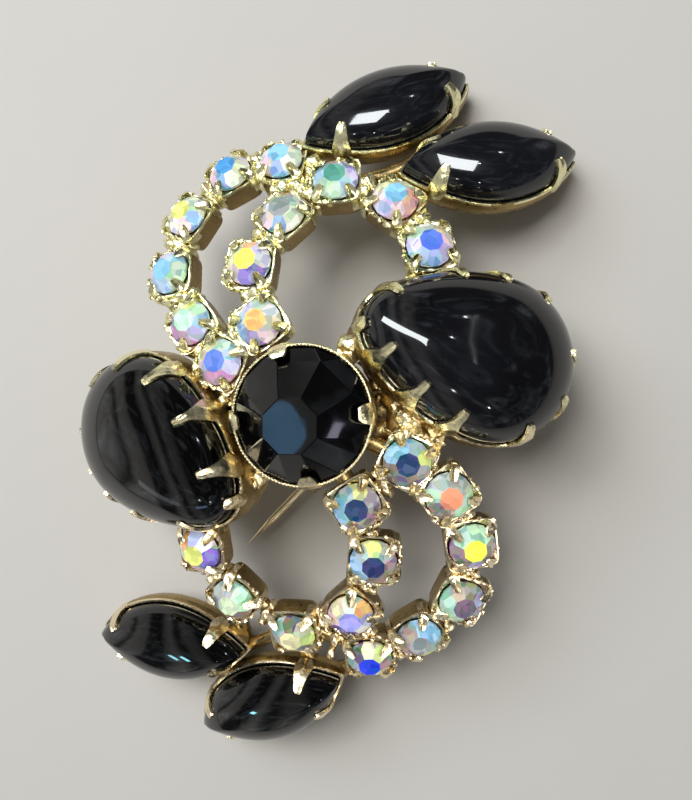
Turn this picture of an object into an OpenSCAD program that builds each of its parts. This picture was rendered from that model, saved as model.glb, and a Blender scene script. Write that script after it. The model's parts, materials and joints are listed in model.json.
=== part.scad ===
// A rhinestone brooch: black cabochons and clear stones in claw settings that are
// soldered together over a low dome. It stands on the outer ends of its four
// pointed settings, and a pin with a hinge and an open catch runs across its back.

/* [Dome] */
// Height of the stones' girdles at the middle of the dome
crown_z = 12; // [11.8:0.1:13]
// Fall of the dome at 10 mm from its middle
dome_drop = 1.05; // [1:0.01:1.08]

/* [Clear stones] */
// Diameter of a clear stone
chaton_d = 3.9; // [3.7:0.1:4]
// Side of its square cup
cup_w = 4.4; // [4.3:0.1:4.6]
// Depth of the cup below the girdle
cup_h = 2.3; // [2.2:0.1:2.5]

/* [Centre stone] */
// Diameter of the black faceted stone
centre_d = 10.7; // [10.3:0.1:10.9]
// Height of its girdle above the dome
centre_lift = 1.3; // [1:0.1:1.6]
// Depth of its cup below the girdle
centre_h = 4.6; // [4.2:0.1:5]

/* [Pear stones] */
// Length of a pear stone
pear_l = 18; // [17.5:0.1:18.2]
// Width of a pear stone
pear_w = 13.5; // [13:0.1:13.6]
// Height of its dome above the girdle
pear_dome = 4.4; // [4:0.1:4.8]
// Depth of its setting below the girdle
pear_h = 3.2; // [2.8:0.1:3.4]
// Lean of a pear stone, away from the middle
pear_lean = 25; // [22:1:28]

/* [Pointed stones] */
// Length of a pointed stone
nav_l = 16; // [15.6:0.1:16.2]
// Width of a pointed stone
nav_w = 7.5; // [7.2:0.1:7.6]
// Height of its dome above the girdle
nav_dome = 2.8; // [2.6:0.1:3]
// Depth of its setting below the girdle
nav_h = 2.2; // [2:0.1:2.5]

/* [Pin] */
// Diameter of the stem
stem_d = 0.7; // [0.6:0.05:0.75]
// Length of the stem from the hinge to the point
stem_l = 30.5; // [29:0.5:32]
// Height of the stem above the surface
stem_z = 2.8; // [2.6:0.1:3.2]

/* [Hidden] */
$fn = 48;

// Thickness of the stamped metal, and the gap between it and a stone
metal = 0.4;
gap = 0.08;

// Each row of cups curves round its own middle, and every cup has a side towards it
MIDDLES = [[2.3, 11.6], [-3.9, 12.8], [-2.4, -12.2], [3.9, -12.7]];
// The seats of each row in order: x, y
ROWS = [
    [[9.7, 13.3], [6.8, 17.4], [1.7, 19.4], [-2.7, 16.5], [-5.3, 12.1], [-4.1, 7.0]],
    [[-7.5, 3.8], [-10.5, 7.2], [-13.1, 11.8], [-12.0, 17.1], [-8.2, 21.0], [-3.4, 21.8]],
    [[-10.1, -12.5], [-7.4, -16.9], [-2.1, -19.8], [3.1, -17.6], [5.2, -12.6], [4.0, -7.9]],
    [[8.0, -4.3], [11.3, -7.0], [13.2, -11.3], [12.4, -16.3], [8.8, -19.8], [4.5, -22.0]]];
row_n = len(ROWS[0]);
half_n = 2 * row_n;
chaton_n = 2 * half_n;

// Seats of the big stones: x, y, turn of the long axis, and the lean of the pointed ones
PEAR_SEATS = [[12.8, 4.65, -16], [-13.25, -3.45, 149]];
NAV_SEATS = [[5.8, 26.55, 28, 28], [14.9, 21.15, 12, 30], [-5.4, -27.6, 207, 25], [-15.2, -22.7, 181, 20]];
CENTRE = [-0.1, -0.5];

// Move that puts the middle of the brooch's outline over the origin
CENTRING = [0.49, 0.49, 0];

// Nodes of the brooch
CHATONS = [for (i = [1 : chaton_n]) str("clear_stone_", i)];
PEARS = ["pear_stone_right", "pear_stone_left"];
NAVS = ["pointed_stone_1", "pointed_stone_2", "pointed_stone_3", "pointed_stone_4"];

gold = [0.83, 0.72, 0.42];
black_glass = [0.03, 0.03, 0.035];
clear_glass = [0.78, 0.84, 0.95];

// The dome
fall = dome_drop / 100;
function dome_z(s) = crown_z - fall * (s.x * s.x + s.y * s.y);
function dome_lean(s) = atan(2 * fall * norm([s.x, s.y]));
function away(s) = atan2(s.y, s.x);

// A seat is x, y, z, the turn of its stone, and its lean away from the middle
TURN = 3;
LEAN = 4;
function pear_seat(i) =
    let (s = PEAR_SEATS[i])
    [s.x, s.y, dome_z(s), s.z, pear_lean];
function chaton_seat(k) =
    let (row = floor(k / row_n), s = ROWS[row][k % row_n], m = MIDDLES[row])
    [s.x, s.y, dome_z(s), atan2(s.y - m.y, s.x - m.x), dome_lean(s)];

// A point of a seat's own frame, in the brooch's frame
function spin(p, t) = [p.x * cos(t) - p.y * sin(t), p.x * sin(t) + p.y * cos(t), p.z];
function tip(p, t) = [p.x * cos(t) + p.z * sin(t), p.y, p.z * cos(t) - p.x * sin(t)];
function seated(s, p) =
    [s.x, s.y, s.z] + spin(tip(spin(p, s[TURN] - away(s)), s[LEAN]), away(s));

module at_seat(s) {
    translate([s.x, s.y, s.z])
        rotate(away(s))
            rotate([0, s[LEAN], 0])
                rotate(s[TURN] - away(s))
                    children();
}

// Outlines are points on arcs, each with the direction that it faces
function arc(cx, cy, r, from, to, n) =
    [for (i = [0 : n - 1])
        let (t = from + (to - from) * i / n)
        [cx + r * cos(t), cy + r * sin(t), t]];
function flat(rows) = [for (p = rows) [p.x, p.y]];

// The pear is a wide end, a narrow end and two long sides that meet them smoothly
pear_wide_r = pear_w / 2;
pear_narrow_r = 3.4;
pear_side_r = 16;
pear_wide_x = pear_l / 2 - pear_wide_r;
pear_narrow_x = pear_narrow_r - pear_l / 2;
pear_far = pear_side_r - pear_narrow_r;
pear_near = pear_side_r - pear_wide_r;
pear_side_x = (pear_far * pear_far - pear_near * pear_near + pear_wide_x * pear_wide_x
    - pear_narrow_x * pear_narrow_x) / (2 * (pear_wide_x - pear_narrow_x));
pear_side_y = sqrt(pear_near * pear_near - pow(pear_side_x - pear_wide_x, 2));
pear_wide_t = atan2(pear_side_y, pear_wide_x - pear_side_x);
pear_narrow_t = atan2(pear_side_y, pear_narrow_x - pear_side_x);
pear_focus = 0.8;
function pear_outline(g) = concat(
    arc(pear_wide_x, 0, pear_wide_r + g, -pear_wide_t, pear_wide_t, 20),
    arc(pear_side_x, -pear_side_y, pear_side_r + g, pear_wide_t, pear_narrow_t, 11),
    arc(pear_narrow_x, 0, pear_narrow_r + g, pear_narrow_t, 360 - pear_narrow_t, 6),
    arc(pear_side_x, pear_side_y, pear_side_r + g, 360 - pear_narrow_t, 360 - pear_wide_t, 11));

// The pointed stone is two arcs
nav_r = (nav_l * nav_l + nav_w * nav_w) / (4 * nav_w);
nav_y = nav_r - nav_w / 2;
function nav_outline(g) =
    let (h = acos(nav_y / (nav_r + g)))
    concat(
        arc(0, -nav_y, nav_r + g, 90 - h, 90 + h, 16),
        arc(0, nav_y, nav_r + g, 270 - h, 270 + h, 16));

// A pointed setting stands with its lowest corner on the surface
function nav_foot(s) = min([for (p = nav_outline(gap + metal)) seated(s, [p.x, p.y, -nav_h]).z]);
function nav_seat(i) =
    let (s = NAV_SEATS[i], low = [s.x, s.y, 0, s.z, s[3]])
    [s.x, s.y, -nav_foot(low), s.z, s[3]];

centre_seat = [CENTRE.x, CENTRE.y, crown_z + centre_lift];

// Cut stones: a table, a crown, a girdle and a pavilion
module cut_stone(d, table, crown, girdle, pavilion) {
    hull() {
        translate([0, 0, crown])
            cylinder(h = 0.01, d = table, $fn = 8);
        translate([0, 0, -girdle / 2])
            cylinder(h = girdle, d = d, $fn = 16);
        translate([0, 0, -pavilion])
            cylinder(h = 0.01, d = 0.15 * d, $fn = 8);
    }
}

chaton_table = 0.42 * chaton_d;
chaton_crown = 0.95;
chaton_pavilion = 1.25;
girdle_h = 0.2;

module clear_stone(k) {
    color(clear_glass)
        at_seat(chaton_seat(k))
            cut_stone(chaton_d, chaton_table, chaton_crown, girdle_h, chaton_pavilion);
}

centre_crown = 2.5;
centre_pavilion = 3.4;
centre_table = 0.42 * centre_d;
centre_turn = 20;

module centre_stone() {
    color(black_glass)
        translate(centre_seat)
            rotate(centre_turn)
                cut_stone(centre_d, centre_table, centre_crown, girdle_h, centre_pavilion);
}

// A cabochon is rings of its outline, drawn in towards a focus as they rise
cab_rings = 8;
cab_base = 1;
cab_edge = 0.7;
function cab_ring(rows, focus, scale, z) =
    [for (p = rows) [focus + (p.x - focus) * scale, p.y * scale, z]];

module cabochon(rows, focus, dome) {
    n = len(rows);
    levels = concat([[0.95, -cab_base], [1, -cab_edge]],
        [for (i = [0 : cab_rings - 1]) let (t = 90 * i / cab_rings) [cos(t), dome * sin(t)]]);
    m = len(levels);
    points = concat(
        [for (l = levels) each cab_ring(rows, focus, l[0], l[1])],
        [[focus, 0, dome]]);
    sides = [for (j = [0 : m - 2], i = [0 : n - 1])
        let (a = j * n + i, b = j * n + (i + 1) % n)
        [a, a + n, b + n, b]];
    cap = [for (i = [0 : n - 1]) [(m - 1) * n + i, m * n, (m - 1) * n + (i + 1) % n]];
    polyhedron(points, concat([[for (i = [0 : n - 1]) i]], sides, cap));
}

module pear_stone(i) {
    color(black_glass)
        at_seat(pear_seat(i))
            cabochon(pear_outline(0), pear_focus, pear_dome);
}

module nav_stone(i) {
    color(black_glass)
        at_seat(nav_seat(i))
            cabochon(nav_outline(0), 0, nav_dome);
}

// A square cup with a cone for the stone's pavilion and a claw at each corner
cup_bore_r = chaton_d / 2 + gap;
cup_seat_h = 0.3;
cup_step = 0.06;
claw_w = 0.55;

module corner_claw() {
    corner = cup_w * sqrt(2) / 2;
    edge = chaton_d / 2;
    translate([0, claw_w / 2, 0])
        rotate([90, 0, 0])
            linear_extrude(claw_w)
                polygon([
                    [corner - 0.9, -1],
                    [corner - 0.25, -1],
                    [corner - 0.25, 0.2],
                    [edge + 0.1, 1],
                    [edge - 0.5, 1.15],
                    [edge - 0.55, 0.85],
                    [edge + 0.15, 0.4],
                    [corner - 0.9, 0]]);
}

module cup() {
    difference() {
        translate([-cup_w / 2, -cup_w / 2, -cup_h])
            cube([cup_w, cup_w, cup_h - 0.1]);
        translate([0, 0, -chaton_pavilion - 0.15])
            cylinder(h = chaton_pavilion - cup_seat_h + 0.15, r1 = 0.35, r2 = cup_bore_r);
        translate([0, 0, -cup_seat_h - cup_step])
            cylinder(h = cup_seat_h + 1, r = cup_bore_r);
    }
    for (t = [45 : 90 : 315]) {
        rotate(t)
            corner_claw();
    }
}

// A claw of a big setting: a strip that follows a dome of radius r until it is
// a reach inside the stone's edge, wide at its foot
claw_from = 1.6;
claw_gap = gap + 0.06;
claw_w_foot = 2.4;
claw_w_tip = 0.5;
function cab_in(r, dome, z) = z <= 0 ? 0 : r * (1 - sqrt(1 - pow(z / dome, 2)));

module big_claw(r, dome, reach) {
    claw_top = dome * sqrt(1 - pow(1 - reach / r, 2));
    heights = [for (i = [0 : 5]) claw_top * i / 5];
    inner = [for (z = heights) [claw_gap - cab_in(r, dome, z), z]];
    outer = [for (p = inner) [p.x + metal, p.y + 0.6 * metal * p.y / dome]];
    top = outer[5];
    profile = concat(
        [[claw_gap, -claw_from]],
        inner,
        [for (i = [5 : -1 : 0]) outer[i]],
        [[claw_gap + metal, -claw_from]]);
    intersection() {
        translate([0, 2, 0])
            rotate([90, 0, 0])
                linear_extrude(4)
                    polygon(profile);
        translate([-6, 0, 0])
            rotate([90, 0, 90])
                linear_extrude(9)
                    polygon([
                        [-claw_w_foot / 2, -claw_from - 1],
                        [claw_w_foot / 2, -claw_from - 1],
                        [claw_w_foot / 2, -0.7],
                        [0.6, 0.3],
                        [0.3, 1.1],
                        [claw_w_tip / 2, top.y + 1],
                        [-claw_w_tip / 2, top.y + 1],
                        [-0.3, 1.1],
                        [-0.6, 0.3],
                        [-claw_w_foot / 2, -0.7]]);
    }
}

// A stamped cup that follows a stone's outline, with a ledge under the stone's edge
wall_drop = 0.5;
ledge_w = 0.9;

module walled_cup(outer, inner, core, depth) {
    difference() {
        translate([0, 0, -depth])
            linear_extrude(depth - wall_drop)
                polygon(flat(outer));
        translate([0, 0, -cab_base - gap])
            linear_extrude(cab_base + gap)
                polygon(flat(inner));
        translate([0, 0, metal - depth])
            linear_extrude(depth)
                polygon(flat(core));
    }
}

// Points of the outline that carry a claw, on the right and the left pear
PEAR_CLAWS = [
    [4, 8, 12, 17, 21, 25, 31, 35, 38, 42, 46],
    [0, 4, 8, 13, 17, 20, 24, 30, 35, 38, 43]];
pear_reach = 1.3;

module pear_setting(i) {
    rim = pear_outline(0);
    walled_cup(pear_outline(gap + metal), pear_outline(gap), pear_outline(-ledge_w), pear_h);
    for (k = PEAR_CLAWS[i]) {
        p = rim[k];
        translate([p.x, p.y, 0])
            rotate(p.z)
                big_claw((p.x - pear_focus) * cos(p.z) + p.y * sin(p.z), pear_dome, pear_reach);
    }
}

// Half the angle between the two claws on each side of a pointed stone
nav_claw_t = 32;
nav_reach = 0.7;

module nav_setting() {
    walled_cup(nav_outline(gap + metal), nav_outline(gap), nav_outline(-ledge_w), nav_h);
    for (side = [90, 270], t = [-nav_claw_t, nav_claw_t]) {
        translate([0, -nav_y * sin(side), 0])
            rotate(side + t)
                translate([nav_r, 0, 0])
                    big_claw(nav_r - nav_y * cos(t), nav_dome, nav_reach);
    }
}

// The round cup of the centre stone
centre_r = centre_d / 2 + gap + 0.3;
centre_claw_w = 1.6;
CENTRE_CLAWS = [2, 108, 186, 278];

module centre_claw() {
    edge = centre_d / 2;
    translate([0, centre_claw_w / 2, 0])
        rotate([90, 0, 0])
            linear_extrude(centre_claw_w)
                polygon([
                    [edge + gap + 0.05, -1.5],
                    [edge + 0.6, -1.5],
                    [edge + 0.6, 0.4],
                    [edge, 1.2],
                    [edge - 0.6, 1.45],
                    [edge - 0.65, 1.1],
                    [edge - 0.05, 0.75],
                    [edge + gap + 0.05, 0.3]]);
}

module centre_setting() {
    difference() {
        translate([0, 0, -centre_h])
            cylinder(h = centre_h + 0.15, r = centre_r);
        translate([0, 0, -centre_h + 2 * metal])
            cylinder(h = centre_h, r = centre_d / 2 + gap);
    }
    for (t = CENTRE_CLAWS) {
        rotate(t)
            centre_claw();
    }
}

// A solder joint between two settings, short of each middle by its own trim
joint_depth = 1.35;

module solder(p, q, trim_p, trim_q, r) {
    way = (q - p) / norm(q - p);
    start = p + way * trim_p;
    run = norm(q - p) - trim_p - trim_q;
    translate(start)
        rotate([0, acos(way.z), atan2(way.y, way.x)])
            cylinder(h = run, r = r, $fn = 24);
}

function cup_heart(k) = seated(chaton_seat(k), [0, 0, -joint_depth]);
cup_trim = 1.75;
centre_heart = centre_seat - [0, 0, 3.6];
centre_trim = centre_r - 0.2;

module row_joints(half) {
    base = half * half_n;
    for (row = [0, row_n], i = [0 : row_n - 2]) {
        solder(cup_heart(base + row + i), cup_heart(base + row + i + 1), cup_trim, cup_trim, 0.6);
    }
}

// Cups that meet across the rows of one half, and the cups that meet the centre cup
CUP_PAIRS = [[5, 6], [3, 11], [2, 11]];
CENTRE_CUPS = [5, 6];

module cross_joints(half) {
    base = half * half_n;
    for (pair = CUP_PAIRS) {
        solder(cup_heart(base + pair[0]), cup_heart(base + pair[1]), cup_trim, cup_trim, 0.6);
    }
    for (k = CENTRE_CUPS) {
        solder(cup_heart(base + k), centre_heart, cup_trim, centre_trim, 0.7);
    }
}

// Joints of the big settings: setting, point on its wall, cup that it meets
NAV_JOINTS = [
    [0, [-5.4, -1.9], 2],
    [0, [-7, 0.6], 11],
    [1, [-7, -0.3], 1],
    [1, [-4.6, 2.4], 2],
    [2, [-5.4, -1.9], 14],
    [2, [-7, 0.6], 23],
    [3, [-7, -0.3], 13],
    [3, [-4.6, 2.4], 14]];
PEAR_JOINTS = [
    [0, [-5, 4.8], 0],
    [0, [-3, -5.8], 18],
    [1, [-5, 4.8], 12],
    [1, [-3, -5.8], 6]];

module big_joints() {
    for (j = NAV_JOINTS) {
        solder(seated(nav_seat(j[0]), [j[1].x, j[1].y, 0.3 - nav_h]), cup_heart(j[2]), 0, cup_trim, 0.6);
    }
    for (j = PEAR_JOINTS) {
        solder(seated(pear_seat(j[0]), [j[1].x, j[1].y, 0.3 - pear_h]), cup_heart(j[2]), 0, cup_trim, 0.6);
    }
    for (i = [0, 1]) {
        solder(seated(pear_seat(i), [-8, 0, 0.4 - pear_h]), centre_heart, 0, centre_trim, 0.8);
    }
}

// The pin lies along one line across the back, and swings in a slanted plane
pin_tip = [-7.65, -13.2, stem_z];
pin_turn = 46;
pin_slant = 35;
hinge_at = pin_tip + stem_l * [cos(pin_turn), sin(pin_turn), 0];
eye_r = 1;
rivet_r = 0.38;
eye_bore = rivet_r + 0.07;
eye_w = 0.9;
cheek_gap = 0.12;
cheek_w = 0.5;
catch_x = 21.2;
catch_w = 1.6;
slot_w = stem_d + 0.24;
bar_z = 1.9;
bar_h = 0.7;
bar_w = 2.6;

module at_pin(slant) {
    translate(hinge_at)
        rotate(180 + pin_turn)
            rotate([slant, 0, 0])
                children();
}

// A tapered wire from the eye, a straight stretch past the catch, and the point
root_d = stem_d + 0.3;
straight_x = 22.6;
point_l = 3;

module pin_stem() {
    color(gold)
        at_pin(pin_slant) {
            difference() {
                union() {
                    rotate([90, 0, 0])
                        cylinder(h = eye_w, r = eye_r, center = true);
                    rotate([0, 90, 0])
                        cylinder(h = straight_x, d1 = root_d, d2 = stem_d);
                }
                rotate([90, 0, 0])
                    cylinder(h = 3, r = eye_bore, center = true);
            }
            translate([straight_x, 0, 0])
                rotate([0, 90, 0])
                    cylinder(h = stem_l - point_l - straight_x, d = stem_d);
            translate([stem_l - point_l, 0, 0])
                rotate([0, 90, 0])
                    cylinder(h = point_l, d1 = stem_d, d2 = 0.1);
        }
}

module hinge_bracket() {
    cheek_y = eye_w / 2 + cheek_gap;
    for (side = [0, 1]) {
        mirror([0, side, 0]) {
            translate([-eye_r, cheek_y, 0])
                cube([2 * eye_r, cheek_w, bar_z + bar_h]);
            translate([0, cheek_y + cheek_w, 0])
                rotate([90, 0, 0])
                    cylinder(h = cheek_w, r = eye_r);
        }
    }
    rotate([90, 0, 0])
        cylinder(h = 2 * (cheek_y + 0.1), r = rivet_r, center = true);
}

module catch_hook() {
    translate([catch_x - catch_w / 2, 0, 0])
        difference() {
            translate([0, -slot_w / 2 - metal, -0.8])
                cube([catch_w, slot_w + 2 * metal, bar_z + bar_h + 0.6]);
            translate([-1, -slot_w / 2, -2])
                cube([catch_w + 2, slot_w, 2 + slot_w / 2]);
        }
}

// Two posts carry the bar, from the centre cup and from the right pear setting
module pin_bar() {
    centre_x = 23.4;
    pear_x = 1.2;
    at_pin(0) {
        translate([-1.4, -bar_w / 2, bar_z])
            cube([catch_x + catch_w / 2 + 1.4, bar_w, bar_h]);
        translate([centre_x - 6, 0, bar_z])
            cylinder(h = centre_seat.z - centre_h - stem_z - bar_z + 0.4, r = 1, $fn = 32);
        translate([pear_x, 0, bar_z])
            cylinder(h = 3, r = 1, $fn = 32);
    }
}

module frame() {
    color(gold) {
        for (k = [0 : chaton_n - 1]) {
            at_seat(chaton_seat(k))
                cup();
        }
        for (half = [0, 1]) {
            row_joints(half);
            cross_joints(half);
        }
        for (i = [0 : len(PEARS) - 1]) {
            at_seat(pear_seat(i))
                pear_setting(i);
        }
        for (i = [0 : len(NAVS) - 1]) {
            at_seat(nav_seat(i))
                nav_setting();
        }
        big_joints();
        translate(centre_seat)
            centre_setting();
        pin_bar();
        at_pin(pin_slant) {
            hinge_bracket();
            catch_hook();
        }
    }
}

module centred() {
    translate(CENTRING)
        children();
}

centred() frame();
centred() pin_stem();
centred() centre_stone();
for (i = [0 : len(PEARS) - 1]) centred() pear_stone(i);
for (i = [0 : len(NAVS) - 1]) centred() nav_stone(i);
for (i = [0 : chaton_n - 1]) centred() clear_stone(i);
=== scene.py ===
"""A rhinestone brooch: black cabochons and coated clear stones in soldered claw settings."""

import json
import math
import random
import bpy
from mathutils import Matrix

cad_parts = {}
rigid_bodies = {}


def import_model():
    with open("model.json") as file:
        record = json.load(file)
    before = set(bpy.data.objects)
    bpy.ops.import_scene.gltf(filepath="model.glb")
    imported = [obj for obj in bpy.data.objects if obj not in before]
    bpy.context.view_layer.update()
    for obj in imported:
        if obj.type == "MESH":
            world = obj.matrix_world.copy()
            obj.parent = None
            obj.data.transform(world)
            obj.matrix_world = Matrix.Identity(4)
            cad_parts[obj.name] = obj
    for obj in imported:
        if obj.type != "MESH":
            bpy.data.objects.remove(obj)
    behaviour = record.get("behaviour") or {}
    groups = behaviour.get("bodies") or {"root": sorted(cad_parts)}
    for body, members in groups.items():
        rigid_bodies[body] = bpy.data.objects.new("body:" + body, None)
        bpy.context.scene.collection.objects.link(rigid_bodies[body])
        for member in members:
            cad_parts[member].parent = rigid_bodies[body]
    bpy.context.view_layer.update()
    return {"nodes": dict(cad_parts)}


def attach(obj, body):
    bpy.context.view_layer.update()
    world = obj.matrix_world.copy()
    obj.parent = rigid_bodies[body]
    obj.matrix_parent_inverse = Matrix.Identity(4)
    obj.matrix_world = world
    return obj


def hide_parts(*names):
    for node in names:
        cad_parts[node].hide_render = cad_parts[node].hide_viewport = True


bl_info = {
    "name": "Rhinestone Brooch",
    "version": (1, 0, 0),
    "blender": (4, 5, 0),
    "location": "View3D > Sidebar > Brooch",
    "description": "Builds the stones, settings and back of a rhinestone brooch on its frame",
    "category": "Add Mesh",
}

import bmesh
import bpy
from bpy.props import FloatProperty, FloatVectorProperty, IntProperty, PointerProperty
from bpy.types import Operator, Panel, PropertyGroup
from mathutils import Matrix, Vector, noise

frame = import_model()

# Lengths in this script are millimetres until a piece is finished
MM = 0.001
BODY = "brooch"

# The dome that the clear stones' seats lie on, and the middle of the outline
CROWN_Z = 12
FALL = 0.0105
CENTRING = Vector((0.49, 0.49, 0))

# Each row of cups curves round its own middle; the seats are x, y
MIDDLES = ((2.3, 11.6), (-3.9, 12.8), (-2.4, -12.2), (3.9, -12.7))
ROWS = (
    ((9.7, 13.3), (6.8, 17.4), (1.7, 19.4), (-2.7, 16.5), (-5.3, 12.1), (-4.1, 7.0)),
    ((-7.5, 3.8), (-10.5, 7.2), (-13.1, 11.8), (-12.0, 17.1), (-8.2, 21.0), (-3.4, 21.8)),
    ((-10.1, -12.5), (-7.4, -16.9), (-2.1, -19.8), (3.1, -17.6), (5.2, -12.6), (4.0, -7.9)),
    ((8.0, -4.3), (11.3, -7.0), (13.2, -11.3), (12.4, -16.3), (8.8, -19.8), (4.5, -22.0)),
)
ROW_N = 6
HALF_N = 12

# Seats of the big stones: x, y, turn, lean
PEAR_SEATS = {"right": (12.8, 4.65, -16, 25), "left": (-13.25, -3.45, 149, 25)}
POINTED_SEATS = (
    (5.8, 26.55, 28, 28),
    (14.9, 21.15, 12, 30),
    (-5.4, -27.6, 207, 25),
    (-15.2, -22.7, 181, 20),
)
CENTRE_SEAT = (-0.1, -0.5, 13.3)

# The pear's outline: a wide end, a narrow end and two long sides; each arc's radius and points
PEAR_WIDE_R = 6.75
PEAR_NARROW_R = 3.4
PEAR_SIDE_R = 16
PEAR_ARCS = ((PEAR_WIDE_R, 20), (PEAR_SIDE_R, 11), (PEAR_NARROW_R, 6), (PEAR_SIDE_R, 11))
PEAR_WIDE_X = 2.25
PEAR_NARROW_X = -5.6
PEAR_FOCUS = 0.8
PEAR_DOME = 4.4
PEAR_POWER = 2.4
PEAR_DEPTH = 3.2

POINTED_L = 16
POINTED_W = 7.5
POINTED_DOME = 2.8
POINTED_POWER = 2.1
POINTED_DEPTH = 2.2
POINTED_N = 36

CENTRE_D = 10.7
CENTRE_DEPTH = 4.6
CENTRE_TABS = (2, 108, 186, 278)

# Gap round a stone and thickness of the stamped metal
GAP = 0.08
METAL = 0.4
WALL_OUT = GAP + METAL

# For the upper and the lower half: the share of white in the clear stones' sides, a painted light
# that makes the upper half's stones paler, the size of the solder between cups, and the grains on a
# cup's rim (how many, and from where to where)
SIDES_PAINTED_LIGHT = (0.2, 0.05)
DROPS = (1.05, 0.72)
GRAINS = ((26, 75, 265), (15, -130, 90))

# How far the bent claws stray from their true line
DENTS = 0.07

# The plate goes from its warm to its pale tone between these two y, below and above the middle; the paler
# top is painted light
PAINTED_LIGHT_Y = 8

# Points of the pears' outlines, out of 48, that carry a claw; the one at the nose is short
PEAR_CLAWS = {
    "right": (4, 8, 12, 17, 21, 25, 31, 35, 38, 42, 46),
    "left": (0, 4, 8, 13, 17, 20, 24, 30, 35, 38, 43),
}
NOSE_CLAW = 35

# How far a pear's claw reaches over the stone, and for the short one also its foot
PEAR_REACH = 1.2
NOSE_REACH = 0.25
NOSE_FOOT = 1.3

# Tints that the coating gives, as screen colours
TINTS = {
    "lemon": (0.98, 0.97, 0.25),
    "straw": (0.90, 0.93, 0.50),
    "cream": (0.90, 0.87, 0.68),
    "celery": (0.82, 0.90, 0.76),
    "lime": (0.84, 0.95, 0.45),
    "mint": (0.66, 0.87, 0.72),
    "sage": (0.55, 0.72, 0.72),
    "jade": (0.35, 0.66, 0.58),
    "sky": (0.55, 0.80, 0.95),
    "azure": (0.30, 0.62, 0.88),
    "cobalt": (0.30, 0.45, 0.90),
    "blue": (0.10, 0.25, 0.95),
    "navy": (0.12, 0.24, 0.42),
    "slate": (0.20, 0.20, 0.27),
    "violet": (0.36, 0.24, 0.80),
    "mauve": (0.60, 0.48, 0.86),
    "lilac": (0.74, 0.72, 0.92),
    "iris": (0.62, 0.62, 0.95),
    "pink": (0.92, 0.76, 0.82),
    "orchid": (0.76, 0.42, 0.72),
    "plum": (0.45, 0.36, 0.46),
    "peach": (0.97, 0.62, 0.48),
    "amber": (0.96, 0.70, 0.35),
    "white": (0.88, 0.90, 0.90),
    "grey": (0.60, 0.63, 0.63),
    "taupe": (0.52, 0.45, 0.43),
}

# Runs of tints that go clockwise round a stone's eight sides
RUNS = {
    "morning": "white cream pink mauve azure sky lilac mint",
    "blush": "cream celery peach peach pink lilac pink cream",
    "lagoon": "lilac sky mint mint sky sky pink cobalt",
    "pearl": "cream grey celery celery azure pink white cream",
    "pansy": "amber lilac white violet violet pink cream celery",
    "orchid": "mint sky lilac orchid orchid lilac cream straw",
    "moss": "grey mint mint taupe taupe mint grey grey",
    "ash": "straw grey taupe taupe taupe sky sky sage",
    "lime": "slate cream lime taupe cream cream grey sage",
    "plum": "mint mint taupe taupe lilac plum plum mint",
}

# The clear stones in order: tint of the table, run of the sides, side where the run starts
STONE_TINTS = (
    ("cobalt", "morning", 0), ("sky", "blush", 0), ("jade", "lagoon", 2),
    ("grey", "pearl", 0), ("lemon", "pansy", 0), ("amber", "morning", 1),
    ("cobalt", "orchid", 0), ("mint", "orchid", 1), ("sky", "lagoon", 0),
    ("straw", "pearl", 7), ("azure", "pearl", 0), ("sky", "pearl", 0),
    ("straw", "pansy", 7), ("celery", "moss", 0), ("cream", "lime", 0),
    ("iris", "pansy", 1), ("navy", "ash", 0), ("navy", "ash", 0),
    ("navy", "ash", 2), ("peach", "moss", 1), ("lemon", "plum", 0),
    ("plum", "plum", 6), ("grey", "ash", 3), ("blue", "lime", 7),
)


class BroochSizes(PropertyGroup):
    """Sizes of the settings, in millimetres."""

    chaton_d: FloatProperty(
        name="Clear stone", description="Diameter of a clear stone in millimetres", default=3.9
    )
    chaton_table: FloatProperty(
        name="Table", description="Share of a clear stone's diameter that its table takes", default=0.5
    )
    cup_w: FloatProperty(
        name="Cup", description="Side of a clear stone's cup in millimetres", default=4.4
    )
    cup_h: FloatProperty(
        name="Cup depth", description="Depth of the cup below the girdle in millimetres", default=2.3
    )
    finger_w: FloatProperty(
        name="Claw finger", description="Width of a pear's claw over the stone in millimetres", default=0.65
    )
    foot_w: FloatProperty(
        name="Claw foot", description="Width of a pear's claw at the rim in millimetres", default=2.2
    )
    bead_n: IntProperty(name="Beads", description="Beads along the centre setting's rim", default=120)


class BroochColours(PropertyGroup):
    """Colours of the metal, the glass and the floor."""

    # The plate at the top and at the foot; the paler top is painted light
    gold: FloatVectorProperty(
        name="Plate", description="Pale gold plate", subtype="COLOR", default=(0.93, 0.88, 0.54)
    )
    gold_warm: FloatVectorProperty(
        name="Warm plate", description="Plate at the foot", subtype="COLOR", default=(0.93, 0.8, 0.55)
    )
    gold_deep: FloatVectorProperty(
        name="Deep plate", description="Plate in hollows", subtype="COLOR", default=(0.52, 0.40, 0.18)
    )
    # Walls: the darker plate of painted shade on walls, undersides and solder
    wall: FloatVectorProperty(
        name="Walls", description="Plate on walls", subtype="COLOR", default=(0.38, 0.275, 0.12)
    )
    black: FloatVectorProperty(
        name="Black glass", description="Opaque black glass", subtype="COLOR", default=(0.003, 0.003, 0.004)
    )
    floor: FloatVectorProperty(
        name="Floor", description="Pale floor", subtype="COLOR", default=(0.6, 0.585, 0.56)
    )


# Seats


def turned(angle, axis="Z"):
    """Matrix of a turn in degrees."""
    return Matrix.Rotation(math.radians(angle), 4, axis)


def moved(x, y, z):
    """Matrix of a move."""
    return Matrix.Translation((x, y, z))


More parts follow.
